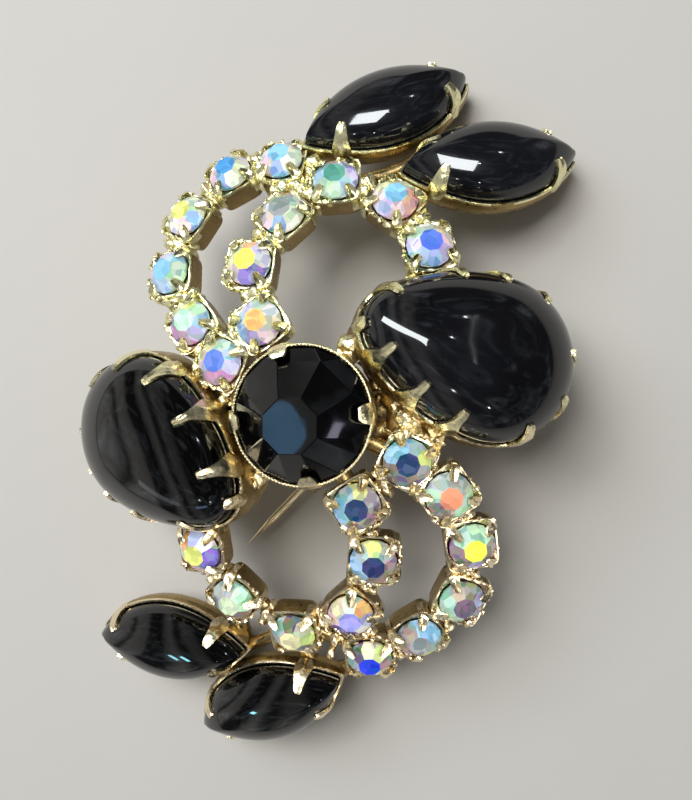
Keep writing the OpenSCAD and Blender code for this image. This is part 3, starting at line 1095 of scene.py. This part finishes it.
def run_of_solder(bm, start, end, r, seed):
    """An uneven rod of solder between two points, wider where it wets the cups."""
    way = end - start
    turn = way.to_track_quat("Z", "Y").to_matrix().to_4x4()
    spot = Matrix.Translation(start) @ turn
    n = 16
    rows = 10

    def place(i, j):
        share = j / rows
        t = 2 * math.pi * (i % n) / n
        flare = r * (1 + 0.5 * (2 * share - 1) ** 2)
        p = Vector((math.cos(t) * flare, math.sin(t) * flare, way.length * share))
        lump = noise.noise(p * 1.1 + Vector((seed * 3.7, 0, 0)))
        p.x *= 1 + 0.35 * lump
        p.y *= 1 + 0.35 * lump
        return spot @ p

    faces = sheet(bm, n, rows, place)
    bmesh.ops.recalc_face_normals(bm, faces=faces)


def lump_of_solder(bm, spot, size, seed):
    """A drop of solder with an uneven skin; size is its x, y and z radius."""
    made = bmesh.ops.create_icosphere(bm, subdivisions=3, radius=1)["verts"]
    for v in made:
        swell = 1 + 0.4 * noise.noise(v.co * 1.2 + Vector((seed * 2.3, 0, 0)))
        swell += 0.22 * noise.noise(v.co * 3.5 + Vector((0, seed * 1.9, 0)))
        v.co = spot @ Vector(c * r * swell for c, r in zip(v.co, size))


def lumps_between(bm, first, second, share, rng):
    """Drops of solder across the gap of two cups, just below their rims; share scales them."""
    way = second.translation - first.translation
    spot = Matrix.Translation((first.translation + second.translation) / 2)
    spot @= Matrix.Rotation(math.atan2(way.y, way.x), 4, "Z")
    for y, size in ((0, 0.85), (-0.85, 0.7), (0.85, 0.7)):
        size *= share * rng.uniform(0.85, 1.15)
        place = moved(rng.uniform(-0.15, 0.15), y + rng.uniform(-0.2, 0.2), -0.95)
        lump_of_solder(bm, spot @ place, (0.8 * size, size, 1.1 * size), rng.random() * 50)


def lumps_along(bm, start, end, size, rng):
    """Drops of solder heaped along a joint between two points."""
    n = max(2, round((end - start).length / size / 0.9))
    for i in range(n):
        p = start.lerp(end, (i + 0.5) / n)
        stray = Vector(rng.uniform(-0.3, 0.3) * size for _ in range(3))
        r = size * rng.uniform(0.7, 1.1)
        lump_of_solder(bm, Matrix.Translation(p + stray), (r, r, r), rng.random() * 50)


class BROOCH_OT_solder(Operator):
    """Run solder between the settings"""

    bl_idname = "brooch.solder"
    bl_label = "Solder"

    def execute(self, context):
        bm = bmesh.new()
        places = [chaton_place(k) for k in range(len(STONE_TINTS))]
        hearts = [place @ Vector((0, 0, -1.35)) for place in places]
        centre = centre_place() @ Vector((0, 0, -3.6))
        pairs = [(row + i, row + i + 1) for row in (0, ROW_N) for i in range(ROW_N - 1)]
        pairs += CUP_PAIRS
        runs = []
        for half in (0, HALF_N):
            runs += [(hearts[half + a], hearts[half + b], 0.6) for a, b in pairs]
            runs += [(hearts[half + a], centre, 0.7) for a in CENTRE_CUPS]
        for i, (x, y), k in POINTED_JOINTS:
            runs.append((hearts[k], pointed_place(i) @ Vector((x, y, 0.3 - POINTED_DEPTH)), 0.6))
        for side, (x, y), k in PEAR_JOINTS:
            runs.append((hearts[k], pear_place(side) @ Vector((x, y, 0.3 - PEAR_DEPTH)), 0.6))
        for side in PEAR_SEATS:
            runs.append((pear_place(side) @ Vector((-8, 0, 0.4 - PEAR_DEPTH)), centre, 0.8))
        for seed, (start, end, r) in enumerate(runs):
            run_of_solder(bm, start, end, r, seed)
        # The joints under the cups are in the darker plate, painted shade
        finish_metal("solder_joints", bm, [painted_shade_gold()], 180)
        bm = bmesh.new()
        rng = random.Random(11)
        for half in (0, HALF_N):
            for a, b in pairs:
                lumps_between(bm, places[half + a], places[half + b], DROPS[half // HALF_N], rng)
        for start, end, r in runs[-len(PEAR_JOINTS) - 2:]:
            lumps_along(bm, start + RISE, end + RISE, 1.1 * r, rng)
        plain = len(bm.faces)
        for seed, (start, end, r) in enumerate(HEAPS):
            start, end = Vector(start) + CENTRING, Vector(end) + CENTRING
            run_of_solder(bm, start, end, r, seed)
            # The rod under the heaped lumps takes the darker plate, painted shade
            paint_shade(list(bm.faces)[plain:])
            lumps_along(bm, start + 0.8 * RISE, end + 0.8 * RISE, 0.5 * r, rng)
            plain = len(bm.faces)
        finish_metal("solder_lumps", bm, [lumpy_gold(), painted_shade_gold()], 180)
        return {"FINISHED"}


# The back: the stem's point, directions in degrees, the bar, and places along the stem's line

PIN_TIP = Vector((-7.65, -13.2, 2.8))
PIN_TURN = 46
PIN_SLANT = 35
STEM_L = 30.5
EYE_R = 1.0
BAR_Z = 1.9
BAR_H = 0.7
BAR_W = 2.6
CATCH_X = 21.2
POST_X = 17.4
HINGE_POST_X = 1.2


def pin_place(slant):
    """The hinge's place, with x along the stem; slant in degrees."""
    turn = math.radians(PIN_TURN)
    hinge = PIN_TIP + STEM_L * Vector((math.cos(turn), math.sin(turn), 0)) + CENTRING
    return Matrix.Translation(hinge) @ turned(180 + PIN_TURN) @ turned(slant, "X")


def block(bm, spot, low, high, soft):
    """A block between two corners, with soft edges."""
    low, high = Vector(low), Vector(high)
    matrix = spot @ Matrix.Translation((low + high) / 2) @ Matrix.Diagonal((*(high - low), 1))
    made = bmesh.ops.create_cube(bm, size=1, matrix=matrix)["verts"]
    soften(bm, edges_of(made), soft, 2)


def rod(bm, spot, r, length):
    """A round rod from a place along its z."""
    matrix = spot @ moved(0, 0, length / 2)
    made = bmesh.ops.create_cone(
        bm, cap_ends=True, segments=32, radius1=r, radius2=r, depth=length, matrix=matrix
    )["verts"]
    soften(bm, [e for e in edges_of(made) if e.calc_face_angle(0) > 1], 0.06, 2)


class BROOCH_OT_back(Operator):
    """Make the bar, its posts, the hinge and the catch"""

    bl_idname = "brooch.back"
    bl_label = "Back"

    def execute(self, context):
        flat = pin_place(0)
        slanted = pin_place(PIN_SLANT)
        bm = bmesh.new()
        block(bm, flat, (-1.4, -BAR_W / 2, BAR_Z), (CATCH_X + 0.8, BAR_W / 2, BAR_Z + BAR_H), 0.2)
        sunk = 0.4
        post = CENTRE_SEAT[2] - CENTRE_DEPTH - PIN_TIP.z - BAR_Z + sunk
        rod(bm, flat @ moved(POST_X, 0, BAR_Z), 1, post)
        rod(bm, flat @ moved(HINGE_POST_X, 0, BAR_Z), 1, 3)
        # The bar under the brooch is in the darker plate, painted shade
        finish_metal("pin_bar", bm, [painted_shade_gold()])
        bm = bmesh.new()
        quarter = turned(90, "X")
        for y in (-0.82, 0.82):
            block(bm, slanted, (-EYE_R, y - 0.25, 0), (EYE_R, y + 0.25, BAR_Z + BAR_H), 0.08)
            rod(bm, slanted @ moved(0, y + 0.25, 0) @ quarter, EYE_R, 0.5)
        rod(bm, slanted @ moved(0, 1.2, 0) @ quarter, 0.38, 2.4)
        finish_metal("pin_hinge_bracket", bm, [gold()])
        bm = bmesh.new()
        slot_r = 0.47
        outer = slot_r + METAL
        n = 24

        def hook(i, j):
            """A plate over the stem with two lips down its sides."""
            t = math.pi * i / n
            x = CATCH_X - 0.8 + 1.6 * j / 4
            z = -0.8 if i in (0, n) else math.sin(t) * outer
            return slanted @ Vector((x, math.cos(t) * outer, z))

        faces = sheet(bm, n, 4, hook)
        bmesh.ops.recalc_face_normals(bm, faces=faces)
        bmesh.ops.solidify(bm, geom=faces, thickness=METAL)
        block(bm, slanted, (CATCH_X - 0.8, -0.6, 0.7), (CATCH_X + 0.8, 0.6, BAR_Z + BAR_H - 0.2), 0.1)
        finish_metal("pin_catch", bm, [gold()])
        return {"FINISHED"}


class BROOCH_OT_stem(Operator):
    """Plate the pin stem"""

    bl_idname = "brooch.stem"
    bl_label = "Pin Stem"

    def execute(self, context):
        stem = frame["nodes"]["pin_stem"]
        stem.data.materials.clear()
        stem.data.materials.append(plate("wire_plate", 0.2, 0.05))
        return {"FINISHED"}


# Stage


def pieces_named(*starts):
    """The pieces whose names start with one of these."""
    return [o for o in bpy.context.scene.objects if o.name.startswith(starts) and o.type == "MESH"]


def reach(light, pieces, state):
    """Lets a light reach only some pieces, or with EXCLUDE all but those."""
    group = bpy.data.collections.new(f"{light.name}_reach")
    for piece in pieces:
        group.objects.link(piece)
    for member in group.collection_objects:
        member.light_linking.link_state = state
    light.light_linking.receiver_collection = group


def soft_light(name, place, target, size, turn, power, colour):
    """A flat light at a place, turned to a target and about its own axis; the sky's is round."""
    data = bpy.data.lights.new(name, "AREA")
    data.shape = "ELLIPSE" if name == "sky" else "RECTANGLE"
    data.size, data.size_y = (MM * side for side in size)
    data.energy = power
    data.color = colour
    light = bpy.data.objects.new(name, data)
    bpy.context.scene.collection.objects.link(light)
    place, target = MM * Vector(place), MM * Vector(target)
    aim = (target - place).to_track_quat("-Z", "Y").to_matrix().to_4x4()
    light.matrix_world = Matrix.Translation(place) @ aim @ turned(turn)
    light.visible_camera = False
    return light


COOL = (0.93, 0.98, 1)
TEAL = (0.35, 0.85, 1)
MIDDLE = (0, 0, 10)
LEFT = (-13, -4, 10)
LOWER = (-10, -25, 10)
BLACK = "centre_stone_glass pear_stone pointed_stone"

# Name, place, target, size, turn, power, colour and the pieces that the light reaches, by the
# starts of their names; "but" stands before the ones that it leaves out
LIGHTS = (
    ("key", (-280, 260, 340), MIDDLE, (340, 260), 0, 1.5, COOL, f"but {BLACK}"),
    ("top", (80, 60, 380), MIDDLE, (220, 220), 48, 1.25, (0.97, 0.99, 1), f"but {BLACK} floor"),
    ("fill", (300, -240, 260), MIDDLE, (340, 260), 0, 0.8, (1, 0.93, 0.84), f"but {BLACK} floor"),
    ("bounce", (-150, 200, 500), MIDDLE, (300, 300), 0, 2.0, (1, 0.97, 0.92), "floor"),
    ("window", (70, 45, 340), MIDDLE, (150, 170), 48, 1.7, COOL, "pointed_stone_1 pointed_stone_2"),
    ("streak", (-107, 65, 285), (10, 5, 15), (60, 360), -4, 1.4, COOL, "pear_stone_right"),
    ("low", (-240, -210, 140), LEFT, (200, 40), 26, 0.022, COOL, "pear_stone_left"),
    ("blue", (10, -300, 200), LEFT, (120, 30), 0, 0.03, (0.4, 0.65, 1), "pear_stone_left"),
    ("lamp_1", (-280, -330, 330), LOWER, (35, 30), 0, 0.07, TEAL, "pointed_stone_4"),
    ("lamp_2", (-200, -270, 340), LOWER, (35, 30), 0, 0.07, TEAL, "pointed_stone_4"),
    ("lamp_3", (-220, -295, 220), LOWER, (35, 30), 0, 0.07, TEAL, "pointed_stone_3"),
    ("sky", (-88, -22, 340), MIDDLE, (36, 28), 0, 0.006, (0.2, 0.56, 1), "centre_stone"),
    ("glint", (336, -31, 216), (0, 0, 14), (8, 26), 75, 0.003, (0.8, 0.78, 1), "centre_stone"),
    ("edge", (243, 125, 288), (13, 5, 14), (9, 300), 47, 0.014, COOL, "pear_stone_right"),
    ("spot_1", (215, 105, 440), MIDDLE, (12, 12), 0, 0.03, COOL, BLACK),
    ("spot_2", (280, 300, 285), MIDDLE, (12, 12), 0, 0.03, COOL, BLACK),
    ("spot_3", (20, -330, 375), MIDDLE, (12, 12), 0, 0.03, COOL, BLACK),
    ("spot_4", (185, -350, 305), MIDDLE, (12, 12), 0, 0.03, COOL, BLACK),
)

# The room that the stones reflect: closeness to a direction, and brightness there
ROOM_WAY = (-0.995, 0, -0.1)
BANDS = (
    (-0.1, 0.03), (0.02, 0.3), (0.16, 0.35), (0.25, 0.05), (0.3, 0.1), (0.38, 0.55), (0.45, 0.4),
    (0.52, 0.03), (0.68, 0.05), (0.73, 0.5), (0.84, 0.6), (0.885, 0.08), (0.93, 0.5), (1, 0.6),
)
CLOUDS = ((0.48, 0), (0.6, (0.2, 0.22, 0.24)), (0.72, (0.8, 0.85, 0.9)))

# The plain backdrop past the floor
BACKDROP = (0.42, 0.41, 0.39)

# The camera: its place, its two turns and its lens
CAMERA_PLACE = (11.3313, 1.3871, 62.0)
CAMERA_TURN_Y = 9.1928
CAMERA_TURN_X = -0.7902
LENS = 28.8


def room():
    """A dim world in bands with clouds over them, and the backdrop where the camera sees it."""
    world = bpy.data.worlds.new("room")
    tree = NodeTree(world, "Generated")
    lean = tree.nodes.new("ShaderNodeVectorMath")
    lean.operation = "DOT_PRODUCT"
    tree.dial(lean, {0: tree.coords, 1: Vector(ROOM_WAY).normalized()})
    span = tree.add("MapRange", {"Value": lean.outputs["Value"], "From Min": -1})
    tones = [((close + 1) / 2, (b, 0.96 * b, 0.9 * b)) for close, b in BANDS]
    tone = tree.ramp(span.outputs["Result"], *tones)
    clouds = tree.ramp(tree.noise(2.6, 7, 0.68, 1.6), *CLOUDS)
    dim = tree.dial(tree.nodes["Background"], {"Color": tree.mix("ADD", 1, tone, clouds)})
    plain = tree.add("Background", {"Color": (*BACKDROP, 1)})
    seen = tree.add("LightPath").outputs["Is Camera Ray"]
    both = tree.add("MixShader", {0: seen, 1: dim.outputs[0], 2: plain.outputs[0]})
    tree.dial(tree.nodes["World Output"], {"Surface": both.outputs["Shader"]})
    bpy.context.scene.world = world


class BROOCH_OT_stage(Operator):
    """Set the floor, the lights and the camera"""

    bl_idname = "brooch.stage"
    bl_label = "Stage"

    def execute(self, context):
        scene = context.scene
        bm = bmesh.new()
        bmesh.ops.create_grid(bm, x_segments=8, y_segments=8, size=1.5)
        mesh = bpy.data.meshes.new("floor")
        bm.to_mesh(mesh)
        bm.free()
        floor = bpy.data.objects.new("floor", mesh)
        mesh.materials.append(floor_material(tuple(scene.brooch_colours.floor)))
        scene.collection.objects.link(floor)
        for *light, reached in LIGHTS:
            starts = reached.split()
            state = "EXCLUDE" if starts[0] == "but" else "INCLUDE"
            reach(soft_light(*light), pieces_named(*starts), state)
        room()
        scene.view_settings.view_transform = "Standard"
        data = bpy.data.cameras.new("camera")
        data.lens = LENS
        data.sensor_width = 36
        data.clip_start = 0.001
        camera = bpy.data.objects.new("camera", data)
        scene.collection.objects.link(camera)
        place = Matrix.Translation((Vector(CAMERA_PLACE) + CENTRING) * MM)
        camera.matrix_world = place @ turned(CAMERA_TURN_Y, "Y") @ turned(CAMERA_TURN_X, "X")
        scene.camera = camera
        return {"FINISHED"}


class BROOCH_PT_panel(Panel):
    """The brooch's sizes, colours and pieces"""

    bl_label = "Brooch"
    bl_idname = "BROOCH_PT_panel"
    bl_space_type = "VIEW_3D"
    bl_region_type = "UI"
    bl_category = "Brooch"

    def draw(self, context):
        for group in (context.scene.brooch_sizes, context.scene.brooch_colours):
            for name in group.bl_rna.properties.keys():
                if name not in ("rna_type", "name"):
                    self.layout.prop(group, name)
        for operator in OPERATORS:
            self.layout.operator(operator.bl_idname)


OPERATORS = (
    BROOCH_OT_clear_stones,
    BROOCH_OT_centre_stone,
    BROOCH_OT_cabochons,
    BROOCH_OT_cups,
    BROOCH_OT_pear_settings,
    BROOCH_OT_pointed_settings,
    BROOCH_OT_centre_setting,
    BROOCH_OT_solder,
    BROOCH_OT_back,
    BROOCH_OT_stem,
    BROOCH_OT_stage,
)
CLASSES = (BroochSizes, BroochColours, *OPERATORS, BROOCH_PT_panel)


def register():
    """Adds the classes and the scene's settings."""
    for cls in CLASSES:
        bpy.utils.register_class(cls)
    bpy.types.Scene.brooch_sizes = PointerProperty(type=BroochSizes)
    bpy.types.Scene.brooch_colours = PointerProperty(type=BroochColours)


def unregister():
    """Takes them away again."""
    del bpy.types.Scene.brooch_colours
    del bpy.types.Scene.brooch_sizes
    for cls in reversed(CLASSES):
        bpy.utils.unregister_class(cls)


def main():
    """Builds every piece in order."""
    register()
    bpy.ops.brooch.clear_stones()
    bpy.ops.brooch.centre_stone()
    bpy.ops.brooch.cabochons()
    bpy.ops.brooch.cups()
    bpy.ops.brooch.pear_settings()
    bpy.ops.brooch.pointed_settings()
    bpy.ops.brooch.centre_setting()
    bpy.ops.brooch.solder()
    bpy.ops.brooch.back()
    bpy.ops.brooch.stem()
    bpy.ops.brooch.stage()


if __name__ == "__main__":
    main()
